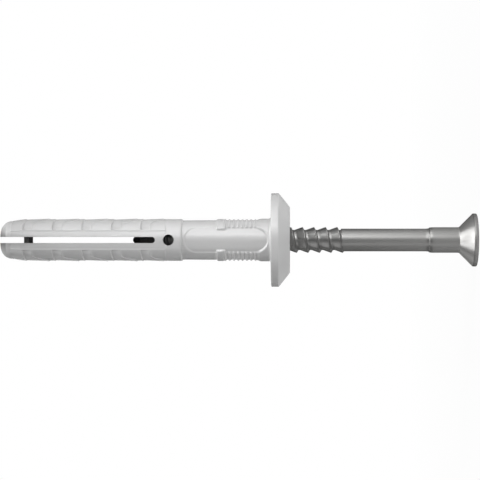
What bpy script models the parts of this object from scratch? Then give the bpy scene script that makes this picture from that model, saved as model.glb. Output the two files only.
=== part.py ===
"""Hammer fixing plug: a slotted nylon sleeve with a low round collar, and the
steel nail with a saw-tooth thread that waits half way into it.

The plug stands on the flat head of its nail. +Z runs from the head to the
sleeve's tip, the origin is the middle of the head's face, and the slot between
the sleeve's two legs faces -Y and +Y.
"""

from math import asin, cos, hypot, pi, radians, sin, tan

import bmesh
import bpy
from mathutils import Matrix

MM = 0.001

# Sleeve, measured along its axis from its tip.
SLEEVE_LENGTH = 40.0 * MM
SLEEVE_RADIUS = 3.095 * MM
TIP_RADIUS = 1.2 * MM
NOSE_LENGTH = 1.6 * MM
NOSE_RADIUS = 2.74 * MM
NOSE_TAPER = 1.95 * MM

# The two legs of the expansion zone carry barbs that hold against pull-out.
BARB_PITCH = 4.345 * MM
FIRST_BARB = 3.66 * MM
BARB_STEP_LENGTH = 0.16 * MM
BARB_STEP_DEPTH = 0.10 * MM
BARB_SIDE_DEPTH = 0.05 * MM
BARB_NEAR_LENGTH = 1.2 * MM
BARB_FAR_LENGTH = 3.7 * MM
BARB_BACK_LENGTH = 0.36 * MM
BARB_GAP = 0.18 * MM
BARB_CREST_RISE = 0.045 * MM
BARB_SIDE_RISE = 0.03 * MM
BARB_SWEEP_START = radians(32.0)
BARB_SWEEP_END = radians(84.0)
LEG_EDGE_RISE = 0.035 * MM
ZONE_STEP = 0.12 * MM

# The slot that parts the legs, the strip beside it, and the web that ties the
# leg ends together until the nail is driven.
SLOT_WIDTH = 0.90 * MM
SLOT_SETBACK = 1.55 * MM
STRIP_HALF_WIDTH = 1.33 * MM
STRIP_START = 1.7 * MM
STRIP_EDGE_ANGLE = radians(0.7)
WEB_START = 3.85 * MM
WEB_LENGTH = 0.68 * MM
WEB_HALF_DEPTH = 2.1 * MM
HOLE_DIAMETER = 1.55 * MM
HOLE_SETBACK = 0.4 * MM

# Full round above the legs, then the neck with its stop ring, grip ribs and
# label pads, up to the shoulder under the collar.
LAND_LENGTH = 2.30 * MM
NECK_LENGTH = 4.82 * MM
NECK_RADIUS = 2.895 * MM
NECK_STEP = 0.12 * MM
NECK_GROWTH = 0.03 * MM
RING_LENGTH = 1.54 * MM
RING_RAMP = 0.6 * MM
RING_RADIUS = 3.105 * MM
RIB_COUNT = 7
RIB_PITCH = 0.636 * MM
RIB_ZONE_RADIUS = 2.985 * MM
RIB_HEIGHT = 0.025 * MM
SHOULDER_LENGTH = 2.17 * MM
SHOULDER_RAMP = 0.75 * MM
SHOULDER_RADIUS = 3.145 * MM
FILLET_RADIUS = 0.45 * MM
PAD_HALF_WIDTH = 1.825 * MM
PAD_MARGIN = 0.47 * MM
PAD_SETBACK = 0.38 * MM
PAD_DEPTH = 0.07 * MM
RING_LAP = 0.3 * MM

# Collar that seats on the fixture, countersunk for the nail's head.
COLLAR_RADIUS = 6.9 * MM
COLLAR_RIM = 1.13 * MM
COLLAR_HEIGHT = 2.76 * MM
COLLAR_FACE_RADIUS = 4.86 * MM
COLLAR_EDGE = 0.12 * MM

# Bore of the sleeve round the nail.
BORE_CLEARANCE = 0.15 * MM
HEAD_CLEARANCE = 0.12 * MM
TIP_CLEARANCE = 0.3 * MM
PILOT_RADIUS = 1.0 * MM
PILOT_FLOOR = 5.6 * MM
PILOT_POINT = 0.5 * MM

# Nail, measured along its axis from the face of its head.
NAIL_LENGTH = 50.4 * MM
NAIL_STAND_OFF = 27.4 * MM
HEAD_RADIUS = 3.9 * MM
HEAD_RIM = 0.65 * MM
HEAD_EDGE = 0.15 * MM
COUNTERSINK = radians(45.0)
NECKED_RADIUS = 1.88 * MM
NECKED_END = 6.6 * MM
NECKED_BLEND = 0.4 * MM
SHANK_RADIUS = 1.672 * MM
SHANK_END = 19.8 * MM
SHANK_EDGE = 0.12 * MM
ROOT_RADIUS = 1.49 * MM
THREAD_RADIUS = 1.885 * MM
THREAD_PITCH = 1.70 * MM
THREAD_RAMP = 1.10 * MM
THREAD_LAND = 0.08 * MM
THREAD_FLANK = 0.22 * MM
THREAD_FADE_TURNS = 0.5
CREST_AT_FRONT = 25.16 * MM
POINT_LENGTH = 1.2 * MM
POINT_RADIUS = 0.5 * MM
RECESS_SPAN = 4.3 * MM
RECESS_WING = 0.85 * MM
RECESS_DEPTH = 2.0 * MM
RECESS_TAPER = 0.42

# Fineness of the round shapes.
SLEEVE_SEGMENTS = 40
NAIL_SEGMENTS = 32
NOSE_STEPS = 5
ARC_STEPS = 3
EDGE_STEPS = 2
STADIUM_STEPS = 10
SMOOTH_ANGLE = radians(35.0)
SPARE_TURNS = 3
WELD_DISTANCE = 1e-6
THROUGH = 2.0 * MM

# Sizes that follow from the ones above: the collar sets the stations of the
# shoulder, ribs, ring and neck, and the legs take the length that is left.
RIB_END = SLEEVE_LENGTH - SHOULDER_LENGTH
RIB_START = RIB_END - RIB_COUNT * RIB_PITCH
RING_END = RIB_START - NECK_STEP
RING_START = RING_END - RING_LENGTH
NECK_START = RING_START - NECK_LENGTH
EXPANSION_END = NECK_START - LAND_LENGTH
HOLE_CENTRE = EXPANSION_END + HOLE_SETBACK
SLOT_LENGTH = EXPANSION_END - SLOT_SETBACK
BARB_COUNT = round((EXPANSION_END - FIRST_BARB) / BARB_PITCH)
PAD_START = NECK_START + PAD_SETBACK
PAD_END = SLEEVE_LENGTH - PAD_MARGIN
SLEEVE_HEIGHT = SLEEVE_LENGTH + COLLAR_HEIGHT
TOTAL_HEIGHT = NAIL_STAND_OFF + SLEEVE_HEIGHT
BORE_RADIUS = THREAD_RADIUS + BORE_CLEARANCE
NAIL_TIP_STATION = TOTAL_HEIGHT - NAIL_LENGTH
STRIP_EDGE = asin(STRIP_HALF_WIDTH / SLEEVE_RADIUS)


def remove_everything():
    """Empty the scene and its data."""
    for thing in list(bpy.data.objects):
        bpy.data.objects.remove(thing, do_unlink=True)
    for mesh in list(bpy.data.meshes):
        bpy.data.meshes.remove(mesh)
    for material in list(bpy.data.materials):
        bpy.data.materials.remove(material)


def make_collection(name):
    """A new collection in the scene."""
    collection = bpy.data.collections.new(name)
    bpy.context.scene.collection.children.link(collection)
    return collection


def make_material(name, colour, roughness, metallic):
    """A Principled material with one colour."""
    material = bpy.data.materials.new(name)
    material.use_nodes = True
    shader = material.node_tree.nodes["Principled BSDF"]
    shader.inputs["Base Color"].default_value = (*colour, 1.0)
    shader.inputs["Roughness"].default_value = roughness
    shader.inputs["Metallic"].default_value = metallic
    material.diffuse_color = (*colour, 1.0)
    return material


def add_object(name, mesh, collection, parent):
    """Put a mesh into the scene under its carrier."""
    thing = bpy.data.objects.new(name, mesh)
    collection.objects.link(thing)
    thing.parent = parent
    return thing


def mark_cutter(thing):
    """Cutters are shown as wire and left out of renders."""
    thing.hide_render = True
    thing.display_type = 'WIRE'
    return thing


def evaluated_mesh(thing):
    """The mesh of an object with its modifiers applied."""
    bpy.context.view_layer.update()
    graph = bpy.context.evaluated_depsgraph_get()
    return bpy.data.meshes.new_from_object(thing.evaluated_get(graph))


def turned_mesh(name, profile, segments, collection, offset=0.0, turns=1):
    """Turn a half section, given as (radius, height) points, about the Z axis,
    climbing by offset in each turn."""
    mesh = bpy.data.meshes.new(name)
    edges = [(index, index + 1) for index in range(len(profile) - 1)]
    mesh.from_pydata([(radius, 0.0, height) for radius, height in profile], edges, [])
    blank = add_object(name + "_profile", mesh, collection, None)
    screw = blank.modifiers.new("turn", 'SCREW')
    screw.axis = 'Z'
    screw.steps = segments
    screw.render_steps = segments
    screw.screw_offset = offset
    screw.iterations = turns
    screw.use_merge_vertices = offset == 0.0
    screw.merge_threshold = WELD_DISTANCE
    result = evaluated_mesh(blank)
    bpy.data.objects.remove(blank, do_unlink=True)
    return result


def clean_mesh(mesh):
    """Weld, split into triangles and turn the faces outward."""
    work = bmesh.new()
    work.from_mesh(mesh)
    bmesh.ops.remove_doubles(work, verts=work.verts, dist=WELD_DISTANCE)
    bmesh.ops.triangulate(work, faces=work.faces)
    bmesh.ops.recalc_face_normals(work, faces=work.faces)
    work.to_mesh(mesh)
    work.free()


def prism(name, outline, depth, collection, parent):
    """A flat outline in the XZ plane, pushed out by depth to both sides along Y."""
    curve = bpy.data.curves.new(name, 'CURVE')
    curve.dimensions = '2D'
    curve.fill_mode = 'BOTH'
    curve.extrude = depth
    spline = curve.splines.new('POLY')
    spline.points.add(len(outline) - 1)
    for point, (x, height) in zip(spline.points, outline):
        point.co = (x, height, 0.0, 1.0)
    spline.use_cyclic_u = True
    flat = bpy.data.objects.new(name + "_outline", curve)
    collection.objects.link(flat)
    mesh = evaluated_mesh(flat)
    bpy.data.objects.remove(flat, do_unlink=True)
    for vertex in mesh.vertices:
        x, height, side = vertex.co
        vertex.co = (x, -side, height)
    clean_mesh(mesh)
    return mark_cutter(add_object(name, mesh, collection, parent))


def cut(thing, cutter, operation='DIFFERENCE'):
    """Boolean modifier that takes the cutter from the object, or joins it."""
    modifier = thing.modifiers.new(cutter.name, 'BOOLEAN')
    modifier.operation = operation
    modifier.solver = 'EXACT'
    modifier.object = cutter


def smooth_step(value):
    """Ease from 0 to 1."""
    value = min(max(value, 0.0), 1.0)
    return value * value * (3.0 - 2.0 * value)


def through_knots(value, knots):
    """Read a value off straight runs between (position, result) knots."""
    for (start, low), (end, high) in zip(knots, knots[1:]):
        if value <= end:
            return low + (high - low) * max(value - start, 0.0) / (end - start)
    return knots[-1][1]


def sleeve_height(station):
    """Height over the collar's face of a station measured from the tip."""
    return SLEEVE_HEIGHT - station


def barb_start(index):
    """Station of the step that begins one barb."""
    return FIRST_BARB + index * BARB_PITCH


def barb_rings():
    """Stations of the turned rings that are shaped into barbs."""
    rings = []
    for index in range(BARB_COUNT):
        start = barb_start(index)
        near_crest = start + BARB_NEAR_LENGTH
        rings += [start, start + BARB_STEP_LENGTH, near_crest, near_crest + BARB_BACK_LENGTH]
    return rings


def nose_side():
    """Rounded nose and its taper up to the first barb."""
    points = [(0.0, 0.0), (TIP_RADIUS, 0.0)]
    for step in range(1, NOSE_STEPS + 1):
        turn = pi / 2 * step / NOSE_STEPS
        radius = TIP_RADIUS + (NOSE_RADIUS - TIP_RADIUS) * sin(turn)
        points.append((radius, NOSE_LENGTH * (1 - cos(turn))))
    for station in (STRIP_START, STRIP_START + ZONE_STEP):
        share = (station - NOSE_LENGTH) / NOSE_TAPER
        points.append((NOSE_RADIUS + (SLEEVE_RADIUS - NOSE_RADIUS) * share, station))
    points.append((SLEEVE_RADIUS, NOSE_LENGTH + NOSE_TAPER))
    return points


def neck_side():
    """Neck, stop ring, grip ribs and shoulder up to the collar's underside."""
    points = [
        (SLEEVE_RADIUS, NECK_START - NECK_STEP / 2),
        (NECK_RADIUS, NECK_START + NECK_STEP / 2),
        (NECK_RADIUS + NECK_GROWTH, RING_START),
        (RING_RADIUS, RING_START + RING_RAMP),
        (RING_RADIUS, RING_END),
        (RIB_ZONE_RADIUS, RIB_START),
    ]
    for index in range(RIB_COUNT):
        middle = RIB_START + (index + 0.5) * RIB_PITCH
        points.append((RIB_ZONE_RADIUS - RIB_HEIGHT, middle - RIB_PITCH / 4))
        points.append((RIB_ZONE_RADIUS + RIB_HEIGHT, middle + RIB_PITCH / 4))
    points.append((SHOULDER_RADIUS, RIB_END + SHOULDER_RAMP))
    for step in range(ARC_STEPS + 1):
        turn = pi / 2 * step / ARC_STEPS
        radius = SHOULDER_RADIUS + FILLET_RADIUS * (1 - cos(turn))
        points.append((radius, SLEEVE_LENGTH - FILLET_RADIUS * (1 - sin(turn))))
    return points


def collar_side():
    """Rim and cone of the collar down to its face."""
    points = []
    for step in range(EDGE_STEPS + 1):
        turn = pi / 2 * step / EDGE_STEPS
        radius = COLLAR_RADIUS - COLLAR_EDGE * (1 - sin(turn))
        points.append((radius, SLEEVE_LENGTH + COLLAR_EDGE * (1 - cos(turn))))
    points.append((COLLAR_RADIUS, SLEEVE_LENGTH + COLLAR_RIM))
    points.append((COLLAR_FACE_RADIUS, SLEEVE_HEIGHT))
    return points


def bore_side():
    """Countersink, bore and blind pilot hole, from the collar's face inward."""
    mouth = HEAD_RADIUS + HEAD_CLEARANCE
    bore_floor = NAIL_TIP_STATION - TIP_CLEARANCE
    return [
        (mouth, SLEEVE_HEIGHT),
        (BORE_RADIUS, SLEEVE_HEIGHT - (mouth - BORE_RADIUS)),
        (BORE_RADIUS, bore_floor),
        (PILOT_RADIUS, bore_floor - (BORE_RADIUS - PILOT_RADIUS)),
        (PILOT_RADIUS, PILOT_FLOOR),
        (0.0, PILOT_FLOOR - PILOT_POINT),
    ]


def sleeve_profile():
    """Half section of the sleeve as (radius, height), outer side first."""
    stations = nose_side()
    stations += [(SLEEVE_RADIUS, station) for station in barb_rings()]
    stations += [(SLEEVE_RADIUS, EXPANSION_END - ZONE_STEP), (SLEEVE_RADIUS, EXPANSION_END)]
    stations += neck_side() + collar_side() + bore_side()
    return [(radius, sleeve_height(station)) for radius, station in stations]


def strip_column(from_slot):
    """Gather the two columns of faces next to the strip's edge close to that edge."""
    column = 2 * pi / SLEEVE_SEGMENTS
    inner = int(STRIP_EDGE / column) * column
    knots = [
        (0.0, 0.0),
        (inner, STRIP_EDGE - STRIP_EDGE_ANGLE),
        (inner + column, STRIP_EDGE + STRIP_EDGE_ANGLE),
        (pi / 2, pi / 2),
    ]
    return through_knots(from_slot, knots)


def leg_rise(from_slot):
    """Height of a leg's surface over the plain round, higher beside the strip."""
    share = (from_slot - STRIP_EDGE) / (pi / 2 - STRIP_EDGE)
    return LEG_EDGE_RISE * (1.0 - smooth_step(share))


def crest_offset(from_slot, index):
    """Distance from a barb's step to its crest, swept back towards the leg's side."""
    share = smooth_step((from_slot - BARB_SWEEP_START) / (BARB_SWEEP_END - BARB_SWEEP_START))
    room = min(BARB_PITCH, EXPANSION_END - ZONE_STEP - barb_start(index))
    far_length = min(BARB_FAR_LENGTH, room - BARB_BACK_LENGTH - BARB_GAP)
    return BARB_NEAR_LENGTH + (far_length - BARB_NEAR_LENGTH) * share


def barb_shape(station, from_slot):
    """Radius and station of a point of a leg after the barbs are shaped."""
    index = min(int((station - FIRST_BARB + WELD_DISTANCE) / BARB_PITCH), BARB_COUNT - 1)
    start = barb_start(index)
    end = min(start + BARB_PITCH, EXPANSION_END)
    rise = leg_rise(from_slot)
    crest = start + crest_offset(from_slot, index)
    near_crest = start + BARB_NEAR_LENGTH
    share = smooth_step((from_slot - STRIP_EDGE) / (BARB_SWEEP_END - STRIP_EDGE))
    crest_rise = BARB_CREST_RISE + (BARB_SIDE_RISE - BARB_CREST_RISE) * share
    step_depth = BARB_STEP_DEPTH + (BARB_SIDE_DEPTH - BARB_STEP_DEPTH) * share
    foot = start + BARB_STEP_LENGTH
    back = near_crest + BARB_BACK_LENGTH
    place = [(start, start), (foot, foot), (near_crest, crest),
             (back, crest + BARB_BACK_LENGTH), (end, end)]
    rises = [(start, rise), (foot, rise - step_depth), (near_crest, crest_rise),
             (back, rise), (end, rise)]
    return SLEEVE_RADIUS + through_knots(station, rises), through_knots(station, place)


def shape_legs(mesh):
    """Move the turned rings of the expansion zone into strips, legs and barbs."""
    for vertex in mesh.vertices:
        x, y, height = vertex.co
        radius = hypot(x, y)
        station = SLEEVE_HEIGHT - height
        inside = radius < (BORE_RADIUS + NOSE_RADIUS) / 2
        if inside or not STRIP_START + WELD_DISTANCE < station < EXPANSION_END - WELD_DISTANCE:
            continue
        from_slot = strip_column(asin(min(abs(x) / radius, 1.0)))
        on_leg = from_slot > STRIP_EDGE
        if station > FIRST_BARB - WELD_DISTANCE:
            shaped_radius, shaped_station = barb_shape(station, from_slot)
            radius = shaped_radius if on_leg else SLEEVE_RADIUS
            station = shaped_station
        elif on_leg:
            radius += leg_rise(from_slot)
        side = 1.0 if x >= 0.0 else -1.0
        front = 1.0 if y >= 0.0 else -1.0
        vertex.co = (side * radius * sin(from_slot), front * radius * cos(from_slot),
                     SLEEVE_HEIGHT - station)


def stadium(half_length, half_width, notch=None):
    """Outline of a bar with round ends as (across, along) points, with an
    optional notch (start, end, width) in both long sides."""
    outline = []
    for end in (1.0, -1.0):
        for step in range(STADIUM_STEPS + 1):
            turn = pi * step / STADIUM_STEPS
            across = end * half_width * cos(turn)
            along = end * (half_length - half_width + half_width * sin(turn))
            outline.append((across, along))
        if notch:
            low, high, narrow = notch
            slope = half_width - narrow
            first, last = (high, low) if end > 0.0 else (low, high)
            outline += [(-end * half_width, first), (-end * narrow, first - end * slope),
                        (-end * narrow, last + end * slope), (-end * half_width, last)]
    return outline


def slot_cutter(collection, parent):
    """Slot between the legs with a round end, interrupted by the web."""
    half_length = SLOT_LENGTH / 2 + THROUGH
    middle = sleeve_height(SLOT_LENGTH / 2 - THROUGH)
    outline = [(x, middle + z) for x, z in stadium(half_length, SLOT_WIDTH / 2)]
    slot = prism("slot", outline, SLEEVE_RADIUS + THROUGH, collection, parent)
    top = sleeve_height(WEB_START)
    bottom = sleeve_height(WEB_START + WEB_LENGTH)
    web_outline = [(-SLOT_WIDTH, bottom), (SLOT_WIDTH, bottom), (SLOT_WIDTH, top), (-SLOT_WIDTH, top)]
    web = prism("web", web_outline, WEB_HALF_DEPTH, collection, parent)
    cut(slot, web)
    return slot


def pad_cutter(collection, parent):
    """Shallow label pads on the front and back of the neck, with a round floor."""
    half_length = (PAD_END - PAD_START) / 2
    middle = sleeve_height((PAD_START + PAD_END) / 2)
    low = sleeve_height(RING_END + NECK_STEP / 2 + RING_LAP / 2) - middle
    high = sleeve_height(RING_START + RING_RAMP / 2 - RING_LAP / 2) - middle
    notch = (low, high, PAD_HALF_WIDTH - RING_LAP)
    outline = [(x, middle + z) for x, z in stadium(half_length, PAD_HALF_WIDTH, notch)]
    pad = prism("pad", outline, SHOULDER_RADIUS + THROUGH, collection, parent)
    floor_radius = NECK_RADIUS - PAD_DEPTH
    top = middle + half_length + THROUGH
    bottom = middle - half_length - THROUGH
    floor_profile = [(0.0, top), (floor_radius, top), (floor_radius, bottom), (0.0, bottom)]
    floor_mesh = turned_mesh("pad_floor", floor_profile, SLEEVE_SEGMENTS, collection)
    clean_mesh(floor_mesh)
    floor = mark_cutter(add_object("pad_floor", floor_mesh, collection, parent))
    cut(pad, floor)
    return pad


def hole_cutter(collection, parent):
    """Round hole across the sleeve, just above the end of the slot."""
    mesh = bpy.data.meshes.new("cross_hole")
    work = bmesh.new()
    bmesh.ops.create_cone(work, cap_ends=True, segments=SLEEVE_SEGMENTS // 2,
                          radius1=HOLE_DIAMETER / 2, radius2=HOLE_DIAMETER / 2,
                          depth=2 * (SLEEVE_RADIUS + THROUGH))
    work.to_mesh(mesh)
    work.free()
    hole = mark_cutter(add_object("cross_hole", mesh, collection, parent))
    hole.rotation_euler = (pi / 2, 0.0, 0.0)
    hole.location = (0.0, 0.0, sleeve_height(HOLE_CENTRE))
    return hole


def shade(thing, material):
    """Smooth shading with sharp edges kept, and one material."""
    thing.data.materials.clear()
    thing.data.materials.append(material)
    thing.data.shade_smooth()
    thing.data.set_sharp_from_angle(angle=SMOOTH_ANGLE)


def build_sleeve(parts, cutters, parent, material):
    """One moulded piece: legs with barbs, neck, collar and bore."""
    mesh = turned_mesh("plug_sleeve", sleeve_profile(), SLEEVE_SEGMENTS, cutters)
    shape_legs(mesh)
    clean_mesh(mesh)
    mesh.name = "plug_sleeve"
    sleeve = add_object("plug_sleeve", mesh, parts, parent)
    for cutter in (pad_cutter(cutters, parent), slot_cutter(cutters, parent),
                   hole_cutter(cutters, parent)):
        cut(sleeve, cutter)
    shade(sleeve, material)
    return sleeve


def nail_profile():
    """Half section of the head and shank, from the shank's end down."""
    cone_height = (HEAD_RADIUS - NECKED_RADIUS) / tan(COUNTERSINK)
    points = [
        (0.0, SHANK_END + SHANK_EDGE),
        (SHANK_RADIUS - SHANK_EDGE, SHANK_END + SHANK_EDGE),
        (SHANK_RADIUS, SHANK_END),
        (SHANK_RADIUS, NECKED_END + NECKED_BLEND),
        (NECKED_RADIUS, NECKED_END),
        (NECKED_RADIUS, HEAD_RIM + cone_height),
        (HEAD_RADIUS, HEAD_RIM),
    ]
    for step in range(EDGE_STEPS + 1):
        turn = pi / 2 * step / EDGE_STEPS
        radius = HEAD_RADIUS - HEAD_EDGE * (1 - cos(turn))
        points.append((radius, HEAD_EDGE * (1 - sin(turn))))
    points.append((0.0, 0.0))
    return points


def thread_section():
    """One pitch of the thread with its crest at height 0: the long ramp faces
    the point and the steep flank faces the head."""
    ramp_foot = THREAD_LAND / 2 + THREAD_RAMP
    return [
        (ROOT_RADIUS, ramp_foot),
        (THREAD_RADIUS, THREAD_LAND / 2),
        (THREAD_RADIUS, -THREAD_LAND / 2),
        (ROOT_RADIUS, -THREAD_LAND / 2 - THREAD_FLANK),
        (ROOT_RADIUS, ramp_foot - THREAD_PITCH),
    ]


def thread_share(crest):
    """How far the thread has risen from the core where its crest is this high."""
    first = SHANK_END + SHANK_EDGE + THREAD_FLANK
    last = NAIL_LENGTH - POINT_LENGTH - THREAD_RAMP
    fade = THREAD_FADE_TURNS * THREAD_PITCH
    return smooth_step((crest - first) / fade) * smooth_step((last - crest) / fade)


def threaded_rod(collection):
    """Right-hand thread swept from inside the shank to the blunt point."""
    phase = (CREST_AT_FRONT + THREAD_PITCH / 4) % THREAD_PITCH
    start = phase + THREAD_PITCH * (int(SHANK_END / THREAD_PITCH) - SPARE_TURNS)
    turns = int((NAIL_LENGTH - start) / THREAD_PITCH) + SPARE_TURNS
    mesh = turned_mesh("threaded_rod", thread_section(), NAIL_SEGMENTS, collection,
                       offset=THREAD_PITCH, turns=turns)
    points_per_section = len(thread_section())
    for vertex in mesh.vertices:
        x, y, height = vertex.co
        turned = vertex.index // points_per_section / NAIL_SEGMENTS
        share = thread_share(start + turned * THREAD_PITCH)
        radius = hypot(x, y)
        scale = (ROOT_RADIUS + (radius - ROOT_RADIUS) * share) / radius
        vertex.co = (x * scale, y * scale, height + start)
    close_rod(mesh, SHANK_END - THREAD_PITCH / 2, NAIL_LENGTH - POINT_LENGTH)
    mesh.name = "threaded_rod"
    return mesh


def close_rod(mesh, low, high):
    """Trim the swept thread to two heights, close it and taper its point."""
    work = bmesh.new()
    work.from_mesh(mesh)
    bmesh.ops.remove_doubles(work, verts=work.verts, dist=WELD_DISTANCE)
    for height, normal in ((low, (0.0, 0.0, -1.0)), (high, (0.0, 0.0, 1.0))):
        geometry = work.verts[:] + work.edges[:] + work.faces[:]
        bmesh.ops.bisect_plane(work, geom=geometry, dist=WELD_DISTANCE / 10,
                               plane_co=(0.0, 0.0, height), plane_no=normal, clear_outer=True)
    rim = [edge for edge in work.edges if edge.is_boundary and edge.verts[0].co.z > (low + high) / 2]
    point = bmesh.ops.extrude_edge_only(work, edges=rim)
    narrow = POINT_RADIUS / ROOT_RADIUS
    for vertex in point["geom"]:
        if isinstance(vertex, bmesh.types.BMVert):
            vertex.co = (vertex.co.x * narrow, vertex.co.y * narrow, NAIL_LENGTH)
    bmesh.ops.holes_fill(work, edges=[edge for edge in work.edges if edge.is_boundary], sides=0)
    bmesh.ops.triangulate(work, faces=work.faces)
    bmesh.ops.recalc_face_normals(work, faces=work.faces)
    work.to_mesh(mesh)
    work.free()


def recess_cutter(index, collection, parent):
    """One tapered wing of the cross recess in the head."""
    mesh = bpy.data.meshes.new("recess_wing")
    work = bmesh.new()
    bmesh.ops.create_cube(work, size=2.0)
    for vertex in work.verts:
        narrowing = 1.0 - vertex.co.z * (1.0 - RECESS_TAPER)
        vertex.co.x *= RECESS_SPAN / 2 * narrowing
        vertex.co.y *= RECESS_WING / 2
        vertex.co.z *= RECESS_DEPTH
    work.to_mesh(mesh)
    work.free()
    wing = mark_cutter(add_object("recess_wing_" + str(index), mesh, collection, parent))
    wing.rotation_euler = (0.0, 0.0, index * pi / 2)
    return wing


def build_nail(parts, cutters, parent, material):
    """Turned nail, joined with its thread and cut for the driver. Its flats lie
    half a segment away from those of the threaded rod that enters it."""
    mesh = turned_mesh("nail_screw", nail_profile(), NAIL_SEGMENTS, cutters)
    mesh.transform(Matrix.Rotation(pi / NAIL_SEGMENTS, 4, 'Z'))
    clean_mesh(mesh)
    mesh.name = "nail_screw"
    nail = add_object("nail_screw", mesh, parts, parent)
    rod = mark_cutter(add_object("threaded_rod", threaded_rod(cutters), cutters, parent))
    cut(nail, rod, 'UNION')
    for index in range(2):
        cut(nail, recess_cutter(index, cutters, parent))
    shade(nail, material)
    return nail


def main():
    """Build the plug."""
    remove_everything()
    parts = make_collection("hammer_fixing_plug")
    cutters = make_collection("cutters")
    plug = bpy.data.objects.new("plug", None)
    parts.objects.link(plug)
    sleeve_seat = bpy.data.objects.new("sleeve_seat", None)
    parts.objects.link(sleeve_seat)
    sleeve_seat.parent = plug
    sleeve_seat.location = (0.0, 0.0, NAIL_STAND_OFF)
    nylon = make_material("nylon", (0.62, 0.62, 0.62), 0.45, 0.0)
    steel = make_material("zinc_plated_steel", (0.42, 0.42, 0.41), 0.28, 1.0)
    build_sleeve(parts, cutters, sleeve_seat, nylon)
    build_nail(parts, cutters, plug, steel)


main()
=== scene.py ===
"""Looks of the hammer fixing plug: a fine nylon sleeve and a fine zinc-plated
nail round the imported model, on a pale studio floor.

The plug stands on the head of its nail. Stations on the sleeve are measured
from its tip downwards, heights on the nail from the face of its head upwards.
"""

from math import asin, atan2, cos, pi, radians, sin, tan

import bmesh
import bpy
from mathutils import Matrix, Vector


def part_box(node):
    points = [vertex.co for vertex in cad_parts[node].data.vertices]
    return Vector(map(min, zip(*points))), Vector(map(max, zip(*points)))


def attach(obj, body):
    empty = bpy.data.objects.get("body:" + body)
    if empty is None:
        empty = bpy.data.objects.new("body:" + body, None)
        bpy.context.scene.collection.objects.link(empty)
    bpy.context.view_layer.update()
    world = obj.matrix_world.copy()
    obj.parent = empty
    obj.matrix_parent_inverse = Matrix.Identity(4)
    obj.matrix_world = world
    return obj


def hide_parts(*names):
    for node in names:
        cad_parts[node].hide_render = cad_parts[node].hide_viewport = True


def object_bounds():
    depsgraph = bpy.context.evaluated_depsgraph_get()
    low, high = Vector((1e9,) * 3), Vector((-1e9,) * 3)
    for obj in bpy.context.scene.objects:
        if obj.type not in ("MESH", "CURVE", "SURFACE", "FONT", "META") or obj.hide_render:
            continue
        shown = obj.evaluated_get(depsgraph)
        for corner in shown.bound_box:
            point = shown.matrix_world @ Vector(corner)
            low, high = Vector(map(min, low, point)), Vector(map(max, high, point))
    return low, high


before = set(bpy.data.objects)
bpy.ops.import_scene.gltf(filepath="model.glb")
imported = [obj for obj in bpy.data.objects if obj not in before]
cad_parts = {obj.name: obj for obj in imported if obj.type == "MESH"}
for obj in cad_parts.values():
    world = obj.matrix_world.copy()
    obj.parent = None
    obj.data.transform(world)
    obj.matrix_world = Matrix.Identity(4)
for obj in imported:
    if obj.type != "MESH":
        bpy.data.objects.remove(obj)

bl_info = {
    "name": "Hammer fixing plug",
    "version": (1, 0, 0),
    "blender": (4, 5, 0),
    "location": "3D View > Sidebar > Plug",
    "description": "Builds a hammer fixing plug with its nail and a small studio",
    "category": "Add Mesh",
}

MM = 0.001
CAD_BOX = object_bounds()
SLEEVE_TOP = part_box("plug_sleeve")[1].z

# Points closer than this are welded, on the pieces and on the wound thread.
WELD = 2e-7
THREAD_WELD = 1e-6
# Slack when lengths are compared, and the least radius that is divided by.
SLACK = 1e-7
LEAST_RADIUS = 1e-6
# Spacing of the sleeve's rows, and steps of a full turn.
FINE = 0.09 * MM
HOLE_STEPS = 64
NAIL_STEPS = 128
THREAD_STEPS = 72
# Rows of one pitch of the thread: 12 on the ramp, 1 on the crest, 4 on the
# flank and 7 on the root.
THREAD_ROWS = 24

# Stretches of the object coordinates: none, and those whose length is then the
# distance from the plug's axis or from the slot's middle plane.
EVENLY = (1.0, 1.0, 1.0)
FROM_AXIS = (1.0, 1.0, 0.0)
FROM_SLOT = (1.0, 0.0, 0.0)
# Most of a noise lies between these values.
NOISE_RANGE = (0.3, 0.7)
# Distances from the axis between which the sleeve goes from the painted shade
# and roughness of the bore to the tone and roughness of the outside.
SKIN = (2.2 * MM, 2.8 * MM)
# Painted shade on the sleeve, darker towards the tip where less light falls:
# distance from the tip where each starts, and its tone at the tip.
PAINTED_TIP_SHADES = ((22.0 * MM, 0.93), (10.0 * MM, 0.86))
WHITE = (1.0, 1.0, 1.0, 1.0)

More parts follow.
